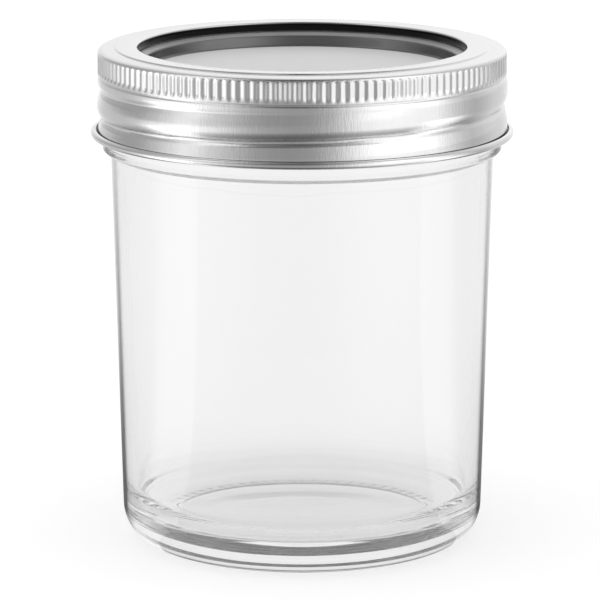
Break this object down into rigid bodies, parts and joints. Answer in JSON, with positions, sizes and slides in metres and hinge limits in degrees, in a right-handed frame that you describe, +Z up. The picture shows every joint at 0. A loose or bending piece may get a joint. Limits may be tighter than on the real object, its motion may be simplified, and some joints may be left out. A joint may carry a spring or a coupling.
{
  "type": "glass preserving jar",
  "caption": "Straight-sided clear glass preserving jar, empty, closed by a flat metal lid with a sealing ring and a fluted metal screw band.",
  "frame": {"origin": "centre of the ring on which the jar stands, on the table plane", "axes": "+Z up along the jar's axis, -Y towards the front view, +X to the right of that view"},
  "size_m": [0.0752, 0.0752, 0.0896],
  "materials": {
    "clear_glass": "clear polished soda-lime glass",
    "lid_metal": "flat satin tinplate",
    "band_metal": "bright tinplate with fine upright scratches",
    "sealing_compound": "pale grey, satin"
  },
  "bodies": {
    "root": {"glass_jar": "clear_glass", "lid_disc": "lid_metal", "screw_band": "band_metal", "seal_ring": "sealing_compound"}
  },
  "joints": []
}
